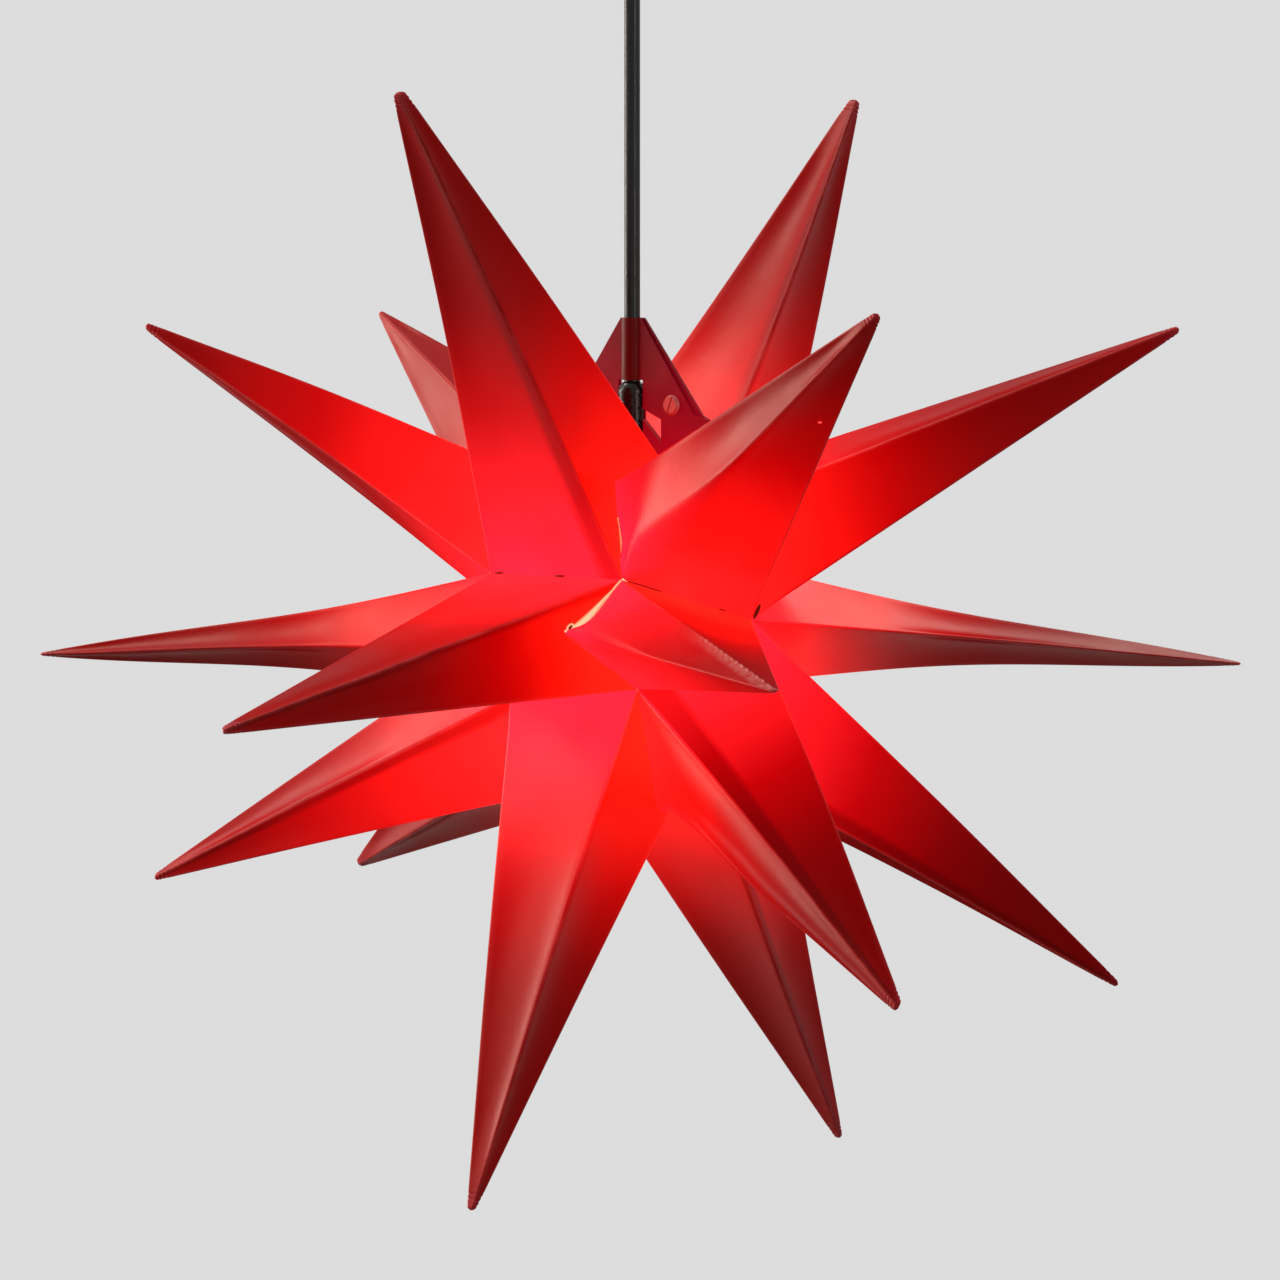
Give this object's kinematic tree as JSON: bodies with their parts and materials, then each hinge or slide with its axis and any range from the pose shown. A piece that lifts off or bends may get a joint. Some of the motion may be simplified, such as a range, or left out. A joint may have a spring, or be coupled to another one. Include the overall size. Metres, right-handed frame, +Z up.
{
  "type": "led christmas star",
  "caption": "Large many-spiked star of folded red sheet, lit by a lamp inside it and hung on a straight cable from an eye.",
  "frame": {"origin": "centre of the bore of the eye that the star hangs from, at the upper end of its cable", "axes": "+Z up along the cable, +Y along the eye's bore, +X along the star's level axis towards its front pole"},
  "size_m": [0.4544, 0.5472, 0.5955],
  "materials": {
    "red_sheet": "thin satin sheet, lets the lamp's light through",
    "red_plate": "moulded, semi-gloss, slightly see-through",
    "red_stud": "moulded, semi-gloss",
    "cable_rubber": "satin cable sheath",
    "black_rubber": "moulded soft rubber",
    "black_plastic": "fine-grained moulding",
    "brass": "pressed sheet",
    "nickel": "plated, rolled thread",
    "black_glass": "black glass",
    "white_plastic": "satin white moulding",
    "white_board": "white lacquered board",
    "light_chip": "phosphor-covered chip, lit",
    "frosted_globe": "frosted cover, lit from inside"
  },
  "bodies": {
    "root": {"suspension_grip": "black_plastic", "grip_nut": "black_plastic", "grip_seal_sleeve": "black_rubber", "cable": "cable_rubber", "strain_relief": "black_rubber", "holder_cap": "black_plastic", "holder_body": "black_plastic", "socket_sleeve": "brass", "socket_tongue": "brass", "mouth_seal": "black_rubber"},
    "shell": {"middle_spike_000": "red_sheet", "front_spike_000": "red_sheet", "rear_spike_000": "red_sheet", "middle_spike_060": "red_sheet", "front_spike_060": "red_sheet", "rear_spike_060": "red_sheet", "middle_spike_120": "red_sheet", "front_spike_120": "red_sheet", "rear_spike_120": "red_sheet", "middle_spike_180": "red_sheet", "front_spike_180": "red_sheet", "rear_spike_180": "red_sheet", "middle_spike_240": "red_sheet", "front_spike_240": "red_sheet", "rear_spike_240": "red_sheet", "middle_spike_300": "red_sheet", "front_spike_300": "red_sheet", "rear_spike_300": "red_sheet", "seam_studs": "red_stud", "hanger_front_plate": "red_plate", "hanger_rear_plate": "red_plate", "hanger_rivets": "red_stud"},
    "lamp": {"lamp_screw_cap": "nickel", "lamp_insulator": "black_glass", "lamp_pip": "brass", "lamp_housing": "white_plastic", "led_board": "white_board", "led_chips": "light_chip", "lamp_globe": "frosted_globe"}
  },
  "joints": [
    {"name": "shell_spin", "type": "hinge", "parent": "root", "child": "shell", "pos_m": [0, 0, -0.335], "axis": [0, 0, 1], "continuous": true},
    {"name": "lamp_turn", "type": "hinge", "parent": "root", "child": "lamp", "pos_m": [0, 0, -0.335], "axis": [0, 0, 1], "range_deg": [-1080, 0]}
  ]
}
